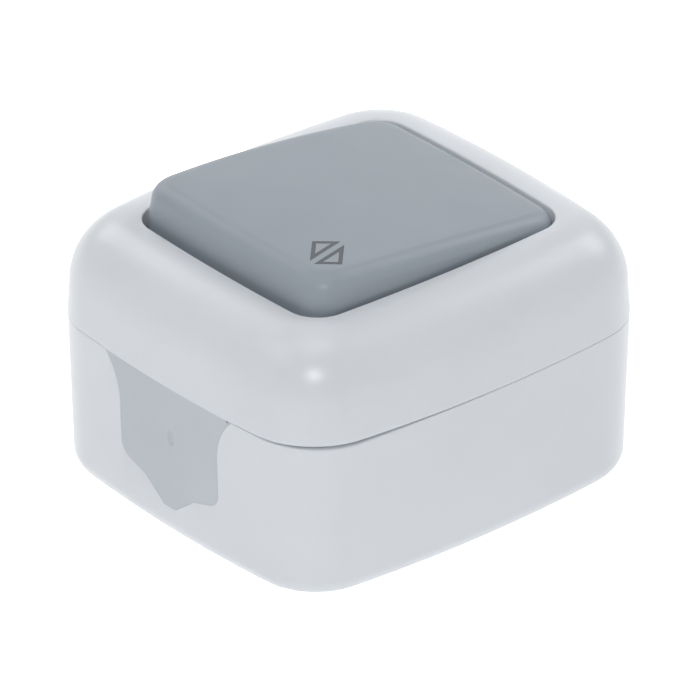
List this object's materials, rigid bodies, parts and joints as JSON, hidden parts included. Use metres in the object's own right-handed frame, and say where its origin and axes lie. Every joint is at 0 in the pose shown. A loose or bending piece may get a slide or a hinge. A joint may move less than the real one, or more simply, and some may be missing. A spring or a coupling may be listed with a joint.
{
  "type": "surface mounted light switch",
  "caption": "Splashproof surface mounted rocker light switch in a rounded plastic housing with soft cable entry seals.",
  "frame": {"origin": "centre of the bottom of the bounding box, on the back of the box, which is the face against the wall", "axes": "+Z out of the wall through the rocker; +Y along the longer side of the box, from the lower cable seal to the upper one; +X completes a right-handed set, along the axis the rocker tips about"},
  "size_m": [0.068, 0.0744, 0.0497],
  "materials": {
    "housing_plastic": "pale cool grey moulded plastic with a satin skin",
    "rocker_plastic": "mid grey moulded plastic with a satin skin",
    "seal_elastomer": "soft light grey elastomer, matt",
    "gasket_rubber": "black foam rubber cord",
    "base_thermoset": "warm white pressed thermoset",
    "frame_plastic": "white moulded plastic",
    "carrier_acetal": "natural white acetal, slightly waxy",
    "contact_brass": "stamped brass strip",
    "contact_silver": "bright silver alloy rivet",
    "plated_steel": "bright zinc plate"
  },
  "bodies": {
    "housing": {"back_box": "housing_plastic", "front_cover": "housing_plastic", "cover_gasket": "gasket_rubber", "lower_cable_seal": "seal_elastomer", "upper_cable_seal": "seal_elastomer", "mechanism_frame": "frame_plastic", "mechanism_base": "base_thermoset", "common_terminal": "contact_brass", "lower_terminal": "contact_brass", "upper_terminal": "contact_brass", "fixed_tip_lower": "contact_silver", "fixed_tip_upper": "contact_silver", "common_clamp": "plated_steel", "lower_clamp": "plated_steel", "upper_clamp": "plated_steel", "common_clamp_screw": "plated_steel", "lower_clamp_screw": "plated_steel", "upper_clamp_screw": "plated_steel", "mechanism_screw_left": "plated_steel", "mechanism_screw_right": "plated_steel", "cover_screw_lower": "plated_steel", "cover_screw_upper": "plated_steel"},
    "rocker": {"rocker": "rocker_plastic", "rocker_carrier": "carrier_acetal", "plunger_spring": "plated_steel"},
    "plunger": {"plunger": "carrier_acetal"},
    "contact": {"moving_contact": "contact_brass", "moving_tip_lower": "contact_silver", "moving_tip_upper": "contact_silver"}
  },
  "joints": [
    {"name": "rocker_tilt", "type": "hinge", "parent": "housing", "child": "rocker", "pos_m": [0, 0, 0.039], "axis": [1, 0, 0], "range_deg": [0, 12.4]},
    {"name": "contact_rock", "type": "hinge", "parent": "housing", "child": "contact", "pos_m": [0, 0, 0.0202], "axis": [1, 0, 0], "range_deg": [-16.1, 0]},
    {"name": "plunger_slide", "type": "slide", "parent": "rocker", "child": "plunger", "axis": [0, 0.108, 0.9942], "range_m": [0, 0.0012], "stiffness_N_per_m": 300, "springref_m": -0.003, "deforming": ["plunger_spring"]}
  ],
  "couplings": [
    {"joint": "contact_rock", "follows": "rocker_tilt", "ratio": -1.2903}
  ]
}
